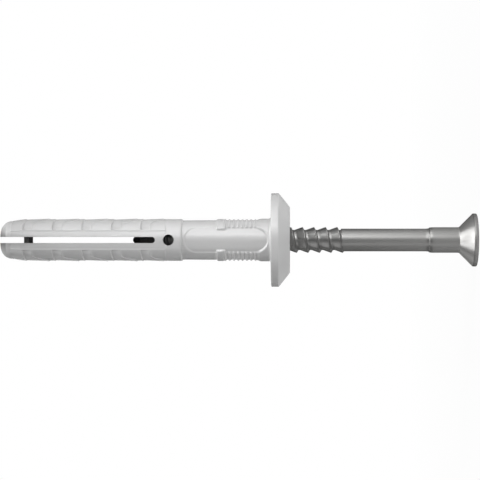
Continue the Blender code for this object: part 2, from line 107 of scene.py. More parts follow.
# The lamps all stand half a metre away. Name, angle round the plug and angle
# towards its tip in degrees, width, height, strength. A helper program first
# weighed the strengths against the photo's greys, one lamp at a time, and they
# were then rounded by hand.
LAMP_DISTANCE = 0.5
SOFTBOXES = (
    ("key_lower", 20, 0, 0.13, 0.13, 1.6),
    ("key", 34, 0, 0.13, 0.13, 4.5),
    ("key_upper", 48, 0, 0.13, 0.13, 2.6),
    ("key_tip_side", 34, 17, 0.16, 0.16, 0.7),
    ("top", 66, 0, 0.24, 0.20, 2.0),
    ("top_tip_side", 62, 17, 0.20, 0.20, 0.7),
    ("top_rear", 92, 5, 0.20, 0.20, 0.8),
    ("top_rear_tip_side", 92, 36, 0.20, 0.20, 0.6),
    ("front_tip_side", 20, 30, 0.16, 0.16, 0.9),
    ("tip_upper", 45, 50, 0.16, 0.16, 2.7),
    ("tip_upper_near", 60, 45, 0.16, 0.16, 5.6),
    ("tip_upper_far", 45, 65, 0.13, 0.13, 7.2),
    ("tip_front", 0, 76, 0.16, 0.16, 4.2),
    ("tip_top", 105, 66, 0.16, 0.16, 2.5),
    ("tip_low", -78, 72, 0.16, 0.16, 2.7),
    ("low_front_tip_side", -35, 35, 0.16, 0.16, 0.4),
    ("low_tip_side", -56, 35, 0.16, 0.16, 0.9),
    ("low_side", -80, 31, 0.16, 0.16, 0.9),
    ("low_front", -43, 0, 0.25, 0.25, 0.6),
    ("low_rear", -130, 30, 0.30, 0.30, 0.4),
    ("low_edge", -165, 15, 0.16, 0.16, 1.6),
    ("rear", 180, 25, 0.30, 0.30, 0.5),
)


def length(name, description, default, **more):
    """A length property, with its default given in millimetres."""
    return bpy.props.FloatProperty(name=name, description=description, default=default * MM,
                                   unit='LENGTH', precision=3, **more)


def angle(name, description, default):
    """An angle property, with its default given in degrees."""
    return bpy.props.FloatProperty(name=name, description=description, default=radians(default),
                                   unit='ROTATION', subtype='ANGLE')


def share(name, description, default):
    """A property from 0 to 1."""
    return bpy.props.FloatProperty(name=name, description=description, default=default,
                                   min=0.0, max=1.0, subtype='FACTOR')


def colour(name, description, default):
    """A colour property."""
    return bpy.props.FloatVectorProperty(name=name, description=description, default=default,
                                         size=3, min=0.0, max=1.0, subtype='COLOR')


class PlugSleeveSizes(bpy.types.PropertyGroup):
    """Sizes of the moulded sleeve."""

    radius: length("Radius", "Radius of the legs and the land above them", 3.083)
    tip_radius: length("Tip radius", "Radius of the flat end of the nose", 1.2)
    nose_length: length("Nose length", "Length of the rounded nose", 1.6)
    nose_radius: length("Nose radius", "Radius where the round of the nose ends", 2.8)
    nose_taper: length("Nose taper", "Length of the taper behind the nose", 1.95)
    taper_bulge: share("Taper bulge", "How round that taper is", 0.35)
    land_end: length("Land end", "Station where the neck steps in", 26.90)
    land_step: length("Land step", "Length of the step down to the neck", 0.12)
    neck_radius: length("Neck radius", "Radius of the neck", 2.895)
    neck_growth: length("Neck growth", "How much the neck widens up to the ring", 0.03)
    ring_start: length("Ring start", "Station where the stop ring begins", 31.80)
    ring_ramp: length("Ring ramp", "Length of the ramp onto the stop ring", 0.42)
    ring_end: length("Ring end", "Station where the stop ring ends", 33.26)
    ring_radius: length("Ring radius", "Radius of the stop ring", 3.105)
    ring_groove: length("Ring groove", "Station of the fine groove in the stop ring", 33.06)
    ring_groove_depth: length("Ring groove depth", "Depth of the fine groove in the stop ring", 0.05)
    ring_groove_half: length("Ring groove half width", "Half the width of the fine groove", 0.11)
    underside: length("Underside", "Station of the collar's underside", 40.0)
    shoulder_radius: length("Shoulder radius", "Radius of the shoulder under the collar", 3.145)
    fillet: length("Fillet", "Fillet between shoulder and collar", 0.45)
    collar_radius: length("Collar radius", "Radius of the collar's rim", 6.9)
    collar_rim: length("Collar rim", "Length of the collar's straight rim", 1.13)
    collar_height: length("Collar height", "Length of the collar with its cone", 2.76)
    collar_face: length("Collar face radius", "Radius of the flat end of the collar", 4.86)
    collar_edge: length("Collar edge", "Rounding of the collar's edge next to the underside", 0.12)
    collar_bend: length("Collar bend", "Rounding between the collar's rim and cone", 0.16)
    collar_lip: length("Collar lip", "Rounding of the collar's flat end", 0.07)


class PlugLegSizes(bpy.types.PropertyGroup):
    """Sizes of the two legs, their barbs and the openings between them."""

    zone_start: length("Strip start", "Station where the strips beside the slot begin", 1.7)
    zone_end: length("Zone end", "Station where the legs run out into the land", 24.6)
    zone_edge: length("Zone edge", "Length of the small walls at the ends of the strips", 0.12)
    strip_half: length("Strip half width", "Half the width of the strip with the slot", 1.33)
    strip_wall: length("Strip wall", "Width of the small wall beside the strip", 0.11)
    strip_sink: length("Strip sink", "How far the strip lies under the plain round", 0.03)
    edge_rise: length("Edge rise", "Height of the leg's edge over the plain round", 0.035)
    barb_count: bpy.props.IntProperty(name="Barbs", description="Barbs on each leg",
                                      default=5, min=1, max=12)
    barb_pitch: length("Barb pitch", "Distance from one barb to the next", 4.345)
    first_barb: length("First barb", "Station of the first barb's step", 3.66)
    step_length: length("Step length", "Length of the step that begins a barb", 0.14)
    step_slant: length("Step slant", "How far the steps lean to the tip beside the strips", 0.18)
    slant_start: length("Slant start", "Run before the first barb where that lean grows", 1.2)
    slant_end: length("Slant end", "Run before the zone's end where that lean fades", 1.3)
    step_depth: length("Step depth", "Depth of a barb's step in the middle of the leg", 0.2)
    side_depth: length("Side depth", "Depth of a barb's step at the leg's side", 0.05)
    near_length: length("Near crest", "Step to crest, beside the strip", 1.45)
    far_length: length("Far crest", "Step to crest, at the leg's side", 3.45)
    back_length: length("Back length", "Length of the wall behind a crest", 0.13)
    barb_gap: length("Barb gap", "Length of the lip before the next step", 0.27)
    crest_rise: length("Crest rise", "Height of the crests over the leg", 0.04)
    far_gain: share("Far gain", "How much higher a crest is at the leg's side", 0.8)
    middle_sink: length("Middle sink", "How far the leg's middle is flattened behind a crest", 0.06)
    lip_rise: length("Lip rise", "Height of the lip before each step", 0.02)
    band_start: angle("Band start", "Angle past the strip where the barbs begin", 1.5)
    band_end: angle("Band end", "Angle past the strip where the barbs are full", 7.0)
    sweep_start: angle("Sweep start", "Angle from the slot where the crest turns back", 48.0)
    sweep_end: angle("Sweep end", "Angle from the slot where the crest is furthest back", 80.0)
    slot_width: length("Slot width", "Width of the slot between the legs", 0.90)
    slot_length: length("Slot length", "Length of the slot from the tip", 23.05)
    web_start: length("Web start", "Station where the web across the slot begins", 3.67)
    web_length: length("Web length", "Length of the web", 0.68)
    web_depth: length("Web half depth", "How far the web reaches from the axis", 2.1)
    hole_station: length("Hole station", "Station of the cross hole", 25.0)
    hole_diameter: length("Hole diameter", "Diameter of the cross hole", 1.61)


class PlugNeckSizes(bpy.types.PropertyGroup):
    """Sizes of the grip ribs and the label pads."""

    rib_start: length("Rib start", "Station where the grip ribs begin", 33.38)
    rib_end: length("Rib end", "Station where the grip ribs end", 37.83)
    rib_pitch: length("Rib pitch", "Distance from one rib to the next", 0.636)
    rib_phase: length("Rib phase", "Station of the middle of a rib's front slope", 33.70)
    rib_radius: length("Rib radius", "Mean radius of the ribbed stretch", 2.985)
    rib_height: length("Rib height", "Half the depth of the ribs", 0.078)
    shoulder_ramp: length("Shoulder ramp", "Length of the ramp behind the ribs", 0.75)
    pad_start: length("Pad start", "Station of the pad's end next to the legs", 27.28)
    pad_end: length("Pad end", "Station of the pad's end next to the collar", 39.53)
    pad_half: length("Pad half width", "Half the width of the pad", 1.825)
    pad_floor: length("Pad floor", "Radius of the pad's floor", 2.825)
    pad_wall: length("Pad wall", "Width of the sloped wall round the pad", 0.22)
    ring_lap: length("Ring lap", "How far the stop ring laps onto the pad", 0.24)


class PlugBoreSizes(bpy.types.PropertyGroup):
    """Sizes of the bore of the sleeve."""

    radius: length("Bore radius", "Radius of the bore round the nail", 2.035)
    mouth: length("Mouth radius", "Radius of the countersink at the collar's face", 4.02)
    floor: length("Bore floor", "Station where the bore narrows", 19.46)
    pilot: length("Pilot radius", "Radius of the blind pilot hole", 1.0)
    pilot_floor: length("Pilot floor", "Station where the pilot hole ends", 5.6)
    pilot_point: length("Pilot point", "Depth of the pilot hole's pointed end", 0.5)


class PlugNailSizes(bpy.types.PropertyGroup):
    """Sizes of the nail's head, shank and thread."""

    head_radius: length("Head radius", "Radius of the head", 3.9)
    head_rim: length("Head rim", "Length of the head's straight rim", 0.56)
    head_edge: length("Head edge", "Rounding of the head's edges", 0.15)
    countersink: angle("Countersink", "Half angle of the head's cone", 45.0)
    cone_edge: length("Cone edge", "Rounding between the head's cone and rim", 0.16)
    neck_fillet: length("Neck fillet", "Fillet between the thick stretch and the cone", 0.22)
    upper_radius: length("Upper radius", "Radius of the thick stretch under the head", 1.88)
    upper_end: length("Upper end", "Height where the thick stretch ends", 6.89)
    upper_step: length("Upper step", "Length of the step at its end", 0.14)
    upper_blend: length("Upper blend", "Length of the soft run-out round the step", 1.2)
    upper_share: share("Run-out share", "How much of the step the soft run-out takes", 0.5)
    shank_radius: length("Shank radius", "Radius of the plain shank", 1.672)
    shank_end: length("Shank end", "Height where the thread begins", 19.8)
    shank_edge: length("Shank edge", "Bevel where the shank meets the thread", 0.1)
    root_radius: length("Root radius", "Radius between the thread's crests", 1.49)
    crest_radius: length("Crest radius", "Radius of the thread's crests", 1.885)
    pitch: length("Pitch", "Distance from one turn of the thread to the next", 1.70)
    ramp: length("Ramp", "Length of the ramp that faces the point", 1.10)
    land: length("Land", "Width of the thread's crest", 0.08)
    flank: length("Flank", "Length of the steep flank that faces the head", 0.22)
    crest_front: length("Crest at the front", "Height of a crest on the nail's front", 25.16)
    length: length("Length", "Length of the nail", 50.62)
    point_length: length("Point length", "Length of the point with its round end", 1.2)
    point_radius: length("Point radius", "Radius of the point's round end", 0.5)
    recess_span: length("Recess span", "Span of the cross recess", 4.3)
    recess_wing: length("Recess wing", "Width of the recess's wings", 0.85)
    recess_depth: length("Recess depth", "Depth of the cross recess", 2.0)
    recess_taper: share("Recess taper", "Span at the recess's floor", 0.42)
    recess_draft: share("Recess draft", "How much the wings narrow to the recess's floor", 0.12)


class PlugFinish(bpy.types.PropertyGroup):
    """Colours, roughness, tones, painted shade and a painted highlight of the two materials."""

    nylon: colour("Nylon", "Colour of the sleeve", (0.67, 0.67, 0.67))
    nylon_roughness: share("Nylon roughness", "Roughness of the sleeve", 0.26)
    bore_roughness: share("Bore roughness", "Roughness of the nylon deep inside", 0.9)
    nose_roughness: share("Nose roughness", "Roughness that the nose has more", 0.3)
    steel: colour("Zinc", "Colour of the nail's plating", (0.335, 0.333, 0.327))
    steel_roughness: share("Zinc roughness", "Roughness of the nail's plating", 0.29)
    steel_metallic: share("Zinc metallic", "How bare the plating is under its milky film", 0.76)
    # Painted shade deep inside the sleeve, in the bore, the slot and on the web.
    painted_bore_shade: share("Nylon inside", "Tone of the nylon deep inside the sleeve", 0.14)
    # Painted shade on the nose and on the strip beside the slot.
    painted_nose_shade: share("Nose tone", "Tone of the rounded nose next to the slot", 0.35)
    painted_strip_shade: share("Strip tone", "Tone of the strip beside the slot at the tip", 0.62)
    # Painted shade on the nail inside the sleeve.
    painted_nail_shade: share("Zinc inside", "Tone of the nail inside the sleeve", 0.17)
    # Painted highlight: the cone's plating tone is raised so that it reflects the lamps brighter.
    painted_cone_highlight: bpy.props.FloatProperty(name="Cone gain", default=1.5, min=1.0, max=3.0,
                                       description="How much brighter the head's pressed cone is")


class PlugStudio(bpy.types.PropertyGroup):
    """Camera and lamps."""

    distance: length("Camera distance", "Distance from the plug's axis to the camera", 249.0)
    height: length("Camera height", "Height of the camera over the floor", 26.35)
    aim: length("Aim height", "Height over the floor that the camera points at", 34.77)
    lens: bpy.props.FloatProperty(name="Lens", description="Focal length in millimetres",
                                  default=126.5, unit='CAMERA')
    power: bpy.props.FloatProperty(name="Lamp power", description="Strength of all lamps together",
                                   default=1.0, min=0.0)
    ambient: bpy.props.FloatProperty(name="Ambient", description="Strength of light from all around",
                                     default=0.1, min=0.0)


def named(group, *names):
    """Sizes of a group under the labels that they have in a node tree."""
    return {name.replace("_", " ").capitalize(): getattr(group, name) for name in names}


def fill(node, values):
    """Set a node's own values by the names of its inputs."""
    for name, value in values.items():
        node.inputs[name].default_value = value


class Field:
    """A number that a node tree works out at each point, with the usual signs."""

    def __init__(self, rule, socket):
        self.rule = rule
        self.socket = socket

    def __add__(self, other):
        return self.rule.math('ADD', self, other)

    def __radd__(self, other):
        return self.rule.math('ADD', other, self)

    def __sub__(self, other):
        return self.rule.math('SUBTRACT', self, other)

    def __rsub__(self, other):
        return self.rule.math('SUBTRACT', other, self)

    def __mul__(self, other):
        return self.rule.math('MULTIPLY', self, other)

    def __rmul__(self, other):
        return self.rule.math('MULTIPLY', other, self)

    def __truediv__(self, other):
        return self.rule.math('DIVIDE', self, other)

    def __neg__(self):
        return self.rule.math('MULTIPLY', self, -1.0)


class Rule:
    """A geometry node tree with named sizes, built line by line."""

    def __init__(self, name, sizes):
        self.tree = bpy.data.node_groups.new(name, 'GeometryNodeTree')
        face = self.tree.interface
        face.new_socket("Geometry", in_out='INPUT', socket_type='NodeSocketGeometry')
        self.sizes = dict(sizes)
        self.identifiers = {}
        for label, value in self.sizes.items():
            kind = 'NodeSocketInt' if isinstance(value, int) else 'NodeSocketFloat'
            socket = face.new_socket(label, in_out='INPUT', socket_type=kind)
            self.identifiers[label] = socket.identifier
        finish = face.new_socket("Finish", in_out='INPUT', socket_type='NodeSocketMaterial')
        self.identifiers["Finish"] = finish.identifier
        face.new_socket("Geometry", in_out='OUTPUT', socket_type='NodeSocketGeometry')
        self.given = self.tree.nodes.new('NodeGroupInput')
        self.geometry = self.given.outputs["Geometry"]

    def size(self, label):
        """One of the tree's named sizes."""
        return Field(self, self.given.outputs[label])

    def node(self, kind, *values, **settings):
        """A node with its settings, and its inputs joined or set in order."""
        made = self.tree.nodes.new(kind)
        for name, value in settings.items():
            setattr(made, name, value)
        for socket, value in zip(made.inputs, values):
            self.feed(socket, value)
        return made

    def feed(self, socket, value):
        """Join a field or socket to an input, or set the input's own value."""
        if isinstance(value, Field):
            value = value.socket
        if isinstance(value, bpy.types.NodeSocket):
            self.tree.links.new(value, socket)
        else:
            socket.default_value = value

    def math(self, operation, *values):
        """A sum, product or other function of fields and numbers."""
        return Field(self, self.node('ShaderNodeMath', *values, operation=operation).outputs[0])

    def least(self, first, second):
        """The smaller of two."""
        return self.math('MINIMUM', first, second)

    def most(self, first, second):
        """The larger of two."""
        return self.math('MAXIMUM', first, second)

    def ramp(self, value, start, end, low=0.0, high=1.0, smooth=False):
        """Go from low to high while the value goes from start to end."""
        made = self.node('ShaderNodeMapRange', value, start, end, low, high, clamp=True,
                         interpolation_type='SMOOTHSTEP' if smooth else 'LINEAR')
        return Field(self, made.outputs[0])

    def knots(self, value, places, results):
        """Read off straight runs through (place, result) knots, given in order."""
        total = results[0]
        for index in range(len(places) - 1):
            gain = results[index + 1] - results[index]
            total = total + self.ramp(value, places[index], places[index + 1]) * gain
        return total

    def point(self):
        """The point's three coordinates."""
        made = self.node('ShaderNodeSeparateXYZ', self.node('GeometryNodeInputPosition').outputs[0])
        return [Field(self, socket) for socket in made.outputs]

    def place(self, x, y, z):
        """Move the points to new coordinates."""
        where = self.node('ShaderNodeCombineXYZ', x, y, z).outputs[0]
        moved = self.node('GeometryNodeSetPosition', self.geometry)
        self.feed(moved.inputs["Position"], where)
        self.geometry = moved.outputs[0]

    def end(self):
        """Realize Instances and Set Material, then the tree's output."""
        real = self.node('GeometryNodeRealizeInstances', self.geometry)
        painted = self.node('GeometryNodeSetMaterial', real.outputs[0])
        self.feed(painted.inputs["Material"], self.given.outputs["Finish"])
        out = self.tree.nodes.new('NodeGroupOutput')
        self.tree.links.new(painted.outputs[0], out.inputs[0])
        return self

    def bake(self, thing, material):
        """Run the tree on an object and return the result as a plain mesh."""
        modifier = thing.modifiers.new(self.tree.name, 'NODES')
        modifier.node_group = self.tree
        for label, value in self.sizes.items():
            modifier[self.identifiers[label]] = value
        modifier[self.identifiers["Finish"]] = material
        mesh = evaluated_mesh(thing)
        thing.modifiers.remove(modifier)
        return mesh


def evaluated_mesh(thing):
    """The mesh of an object with its modifiers applied."""
    bpy.context.view_layer.update()
    graph = bpy.context.evaluated_depsgraph_get()
    return bpy.data.meshes.new_from_object(thing.evaluated_get(graph))


def add_object(name, mesh):
    """Put a mesh into the scene."""
    thing = bpy.data.objects.new(name, mesh)
    bpy.context.scene.collection.objects.link(thing)
    return thing


def finished(name, work):
    """Turn the faces outward and keep the work as a new mesh."""
    bmesh.ops.recalc_face_normals(work, faces=work.faces)
    mesh = bpy.data.meshes.new(name)
    work.to_mesh(mesh)
    work.free()
    return mesh


def turned(name, profile, angles):
    """Turn (radius, height) points about Z through the given angles. A point on
    the axis makes a pole."""
    work = bmesh.new()
    rings = []
    for radius, height in profile:
        if radius < WELD:
            rings.append([work.verts.new((0.0, 0.0, height))])
        else:
            rings.append([work.verts.new((radius * cos(turn), radius * sin(turn), height))
                          for turn in angles])
    count = len(angles)
    for upper, lower in zip(rings, rings[1:]):
        for index in range(count):
            after = (index + 1) % count
            corners = [upper[index % len(upper)], lower[index % len(lower)],
                       lower[after % len(lower)], upper[after % len(upper)]]
            unique = list(dict.fromkeys(corners))
            if len(unique) > 2:
                work.faces.new(unique)
    return finished(name, work)


def tidy(mesh):
    """Weld doubles and turn the faces outward."""
    work = bmesh.new()
    work.from_mesh(mesh)
    bmesh.ops.remove_doubles(work, verts=work.verts, dist=WELD)
    bmesh.ops.recalc_face_normals(work, faces=work.faces)
    work.to_mesh(mesh)
    work.free()


def spread(start, end, step):
    """Values from start up to, not including, end, at most a step apart."""
    count = max(1, round((end - start) / step))
    return [start + (end - start) * index / count for index in range(count)]


def rows(start, *runs):
    """Values from start on, through runs of (end, step)."""
    values = []
    for end, step in runs:
        values += spread(start, end, step)
        start = end
    return values


def ordered(stations, gap=0.012 * MM):
    """Stations in order, without those that nearly repeat the one before."""
    kept = []
    for station in sorted(stations):
        if not kept or station - kept[-1] > gap:
            kept.append(station)
    return kept


def smooth_step(value):
    """Ease from 0 to 1."""
    value = min(max(value, 0.0), 1.0)
    return value * value * (3.0 - 2.0 * value)


def straight(radius, stations):
    """Section points of one radius."""
    return [(radius, station) for station in stations]


def between(first, last, parts):
    """Section points on the line from one point to another."""
    return [(first[0] + (last[0] - first[0]) * part, first[1] + (last[1] - first[1]) * part)
            for part in parts]


def eased(first, last, count):
    """Section points that ease from one point to another, both included."""
    return [(first[0] + (last[0] - first[0]) * smooth_step(index / count),
             first[1] + (last[1] - first[1]) * index / count) for index in range(count + 1)]


def cut(thing, cutter, operation='DIFFERENCE'):
    """Apply an exact Boolean and remove its cutter."""
    modifier = thing.modifiers.new("cut", 'BOOLEAN')
    modifier.operation = operation
    modifier.solver = 'EXACT'
    modifier.object = cutter
    mesh = evaluated_mesh(thing)
    thing.modifiers.remove(modifier)
    old = thing.data
    thing.data = mesh
    bpy.data.meshes.remove(old)
    bpy.data.objects.remove(cutter, do_unlink=True)


def shade(thing, material, limit):
    """One material, smooth shading, and sharp edges past the limit."""
    thing.data.materials.clear()
    thing.data.materials.append(material)
    thing.data.shade_smooth()
    thing.data.set_sharp_from_angle(angle=radians(limit))


def prism(name, outline, low, high):
    """An (x, height) outline pushed through from y = low to y = high."""
    work = bmesh.new()
    near = [work.verts.new((x, low, height)) for x, height in outline]
    far = [work.verts.new((x, high, height)) for x, height in outline]
    work.faces.new(near)
    work.faces.new(list(reversed(far)))
    count = len(outline)
    for index in range(count):
        after = (index + 1) % count
        work.faces.new((near[after], near[index], far[index], far[after]))
    return add_object(name, finished(name, work))


def sleeve_columns():
    """Angles of the sleeve's columns, close together at the strip and pad edges."""
    quarter = [radians(value) for value in
               rows(0.0, (24.0, 1.6), (27.5, 0.6), (36.0, 1.6), (42.0, 0.75), (90.0, 2.4))]
    half = quarter + [pi / 2] + [pi - value for value in reversed(quarter[1:])]
    whole = half + [pi + value for value in half]
    return [value - pi / 2 for value in whole]


def arc(centre_radius, centre_station, radius, start, end, steps):
    """Section points on an arc, with angles from the radial direction."""
    return [(centre_radius + radius * cos(start + (end - start) * index / steps),
             centre_station + radius * sin(start + (end - start) * index / steps))
            for index in range(steps + 1)]


def leg_stations(body, legs):
    """Stations of the rows along the legs, close together at the barbs' walls."""
    edge = legs.zone_edge
    stations = rows(body.nose_length + FINE / 2, (legs.zone_start - edge, FINE),
                    (legs.zone_start + edge, FINE / 2), (body.nose_length + body.nose_taper, 2 * FINE),
                    (legs.first_barb, 2 * FINE))
    for index in range(legs.barb_count):
        start = legs.first_barb + index * legs.barb_pitch
        end = min(start + legs.barb_pitch, legs.zone_end - edge)
        crest = start + legs.near_length
        back = crest + legs.back_length
        stations += rows(start, (start + legs.step_length, legs.step_length / 4),
                         (crest, legs.near_length / 8), (back, legs.back_length / 5),
                         (end - legs.barb_gap, 3.5 * FINE), (end, legs.barb_gap / 3))
    stations += rows(legs.zone_end - edge, (legs.zone_end + edge, FINE / 2),
                     (body.land_end - body.land_step, 3 * FINE))
    return ordered(stations)


def legs_section(body, legs):
    """Section of the nose, the legs and the land above them."""
    points = [(0.0, 0.0), (body.tip_radius * 0.5, 0.0)]
    steps = 12
    for index in range(steps + 1):
        turn = pi / 2 * index / steps
        points.append((body.tip_radius + (body.nose_radius - body.tip_radius) * sin(turn),
                       body.nose_length * (1 - cos(turn))))
    for station in leg_stations(body, legs):
        part = min(1.0, (station - body.nose_length) / body.nose_taper)
        grown = part * (1.0 + body.taper_bulge * (1.0 - part))
        points.append((body.nose_radius + (body.radius - body.nose_radius) * grown, station))
    return points


def neck_section(body, neck):
    """Section of the neck, the stop ring, the ribbed stretch and the shoulder."""
    half = body.land_step / 2
    points = eased((body.radius, body.land_end - half), (body.neck_radius, body.land_end + half), 8)
    for station in rows(body.land_end + body.land_step, (neck.pad_start - FINE, FINE),
                        (neck.pad_start + neck.pad_half, 0.75 * FINE), (body.ring_start, 2.5 * FINE)):
        part = (station - body.land_end) / (body.ring_start - body.land_end)
        points.append((body.neck_radius + body.neck_growth * part, station))
    neck_end = body.neck_radius + body.neck_growth
    ring_top = body.ring_start + body.ring_ramp
    points += eased((neck_end, body.ring_start), (body.ring_radius, ring_top), 8)
    groove, half = body.ring_groove, body.ring_groove_half
    for station in rows(ring_top + FINE, (groove - half, FINE), (groove + half, half / 4),
                        (body.ring_end - FINE / 2, FINE)):
        sunk = smooth_step(1.0 - abs(station - groove) / half)
        points.append((body.ring_radius - body.ring_groove_depth * sunk, station))
    points += eased((body.ring_radius, body.ring_end), (neck.rib_radius, neck.rib_start), 6)
    points += straight(neck.rib_radius,
                       spread(neck.rib_start + FINE, neck.rib_end, neck.rib_pitch / 10))
    ramp_end = neck.rib_end + neck.shoulder_ramp
    points += eased((neck.rib_radius, neck.rib_end), (body.shoulder_radius, ramp_end), 8)
    points += straight(body.shoulder_radius, spread(ramp_end, body.underside - body.fillet, FINE)[1:])
    return points


def collar_section(body):
    """Section of the fillet and the collar, up to its flat end."""
    points = arc(body.shoulder_radius + body.fillet, body.underside - body.fillet, body.fillet,
                 pi, pi / 2, 8)
    edge, bend, lip = body.collar_edge, body.collar_bend, body.collar_lip
    rim = body.collar_radius - edge
    points += [(rim * 0.6, body.underside), (rim * 0.85, body.underside)]
    points += arc(rim, body.underside + edge, edge, -pi / 2, 0.0, 6)
    rim_end = body.underside + body.collar_rim
    face = body.underside + body.collar_height
    points += straight(body.collar_radius,
                       spread(body.underside + 2 * edge, rim_end - bend / 2, 0.25 * MM))
    slope = atan2(body.collar_radius - body.collar_face, face - rim_end)
    points += arc(body.collar_radius - bend, rim_end - bend * tan(slope / 2), bend, 0.0, slope, 5)
    points += between((body.collar_radius, rim_end), (body.collar_face, face), (0.25, 0.5, 0.75))
    points += arc(body.collar_face - lip, face - lip, lip, slope, pi / 2, 4)
    return points


def bore_section(body, bore):
    """Section of the countersink, the bore and the blind pilot hole."""
    face = body.underside + body.collar_height
    depth = bore.mouth - bore.radius
    points = [(bore.mouth + body.collar_lip, face), (bore.mouth, face - body.collar_lip / 2)]
    points += between((bore.mouth, face), (bore.radius, face - depth), (0.34, 0.67, 1.0))
    points += straight(bore.radius, reversed(spread(bore.floor, face - depth - 0.3 * MM, 1.2 * MM)))
    narrow_end = bore.floor - bore.radius + bore.pilot
    points.append((bore.pilot, narrow_end))
    points += straight(bore.pilot,
                       reversed(spread(bore.pilot_floor, narrow_end - 0.3 * MM, 1.5 * MM)))
    points.append((0.0, bore.pilot_floor - bore.pilot_point))
    return points


def leg_rule(body, legs, bore):
    """Node tree that raises the legs over the strips and shapes their barbs."""
    rule = Rule("Leg barbs", {
        "Sleeve top": SLEEVE_TOP,
        "Outer limit": (bore.radius + body.nose_radius) / 2,
        "Strip angle": asin(legs.strip_half / body.radius),
        "Strip wall angle": legs.strip_wall / body.radius,
        "Barb count": float(legs.barb_count),
        **named(legs, "zone_start", "zone_end", "zone_edge", "edge_rise", "strip_sink", "barb_pitch",
                "first_barb", "step_length", "step_slant", "slant_start", "slant_end", "step_depth",
                "side_depth", "near_length", "far_length", "back_length", "barb_gap", "crest_rise",
                "far_gain", "middle_sink", "lip_rise", "band_start", "band_end", "sweep_start",
                "sweep_end"),
    })
    size = rule.size
    top, first, pitch = size("Sleeve top"), size("First barb"), size("Barb pitch")
    step, near, back, gap = (size(label) for label in ("Step length", "Near length", "Back length",
                                                       "Barb gap"))
    zone_edge, depth, band = size("Zone edge"), size("Step depth"), size("Band start")
    x, y, z = rule.point()
    station = top - z
    radius = rule.most(rule.math('SQRT', x * x + y * y), LEAST_RADIUS)
    turn = rule.math('ARCSINE', rule.least(rule.math('ABSOLUTE', x) / radius, 1.0))
    strip = size("Strip angle")
    half_wall = size("Strip wall angle") * 0.5
    on_leg = rule.ramp(turn, strip - half_wall, strip + half_wall, smooth=True)
    edge = zone_edge * 0.5
    zone_end = size("Zone end")
    in_zone = (rule.ramp(station, size("Zone start") - edge, size("Zone start") + edge, smooth=True)
               * rule.ramp(station, zone_end - edge, zone_end + edge, 1.0, 0.0, smooth=True))
    outer = rule.math('GREATER_THAN', radius, size("Outer limit"))
    across = rule.ramp(turn, strip + band, pi / 2)
    across = across * across
    plain = rule.ramp(turn, strip, pi / 2, size("Edge rise"), 0.0, smooth=True)
    rise = plain - size("Middle sink") * across * (1.0 - across) * 4.0
    full = rule.ramp(turn, strip + band, strip + size("Band end"), smooth=True)
    passed = rule.math('FLOOR', (station - first + SLACK) / pitch)
    index = rule.most(rule.least(passed, size("Barb count") - 1.0), 0.0)
    start = first + index * pitch
    room = rule.least(pitch, zone_end - zone_edge - start)
    local = station - start
    sweep = rule.ramp(turn, size("Sweep start"), size("Sweep end"), smooth=True)
    far = rule.least(size("Far length"), room - back - gap)
    crest = near + (far - near) * sweep
    crest_rise = plain + size("Crest rise") * full * (1.0 + sweep * size("Far gain"))
    lip = rise + size("Lip rise") * full
    step_depth = (depth + (size("Side depth") - depth) * sweep) * full
    near_back = near + back
    lip_start = room - gap
    places = [0.0, step, near, near_back, lip_start, room]
    moved = rule.knots(local, places, [local * 0.0, step, crest, crest + back, lip_start, room])
    raised = rule.knots(local, places, [lip, rise - step_depth, crest_rise, rise, rise, lip])
    in_barbs = (rule.math('GREATER_THAN', station, first - SLACK) * outer
                * rule.math('LESS_THAN', station, zone_end - zone_edge + SLACK))
    new_rise = rise + (raised - rise) * in_barbs
    leaning = (rule.ramp(station, first - size("Slant start"), first)
               * rule.ramp(station, zone_end - size("Slant end"), zone_end - zone_edge, 1.0, 0.0))
    new_station = (station + (start + moved - station) * in_barbs
                   - size("Step slant") * (1.0 - sweep) * leaning * outer)
    relief = (on_leg * new_rise - (1.0 - on_leg) * size("Strip sink")) * in_zone * outer
    factor = 1.0 + relief / radius
    rule.place(x * factor, y * factor, top - new_station)
    return rule.end()


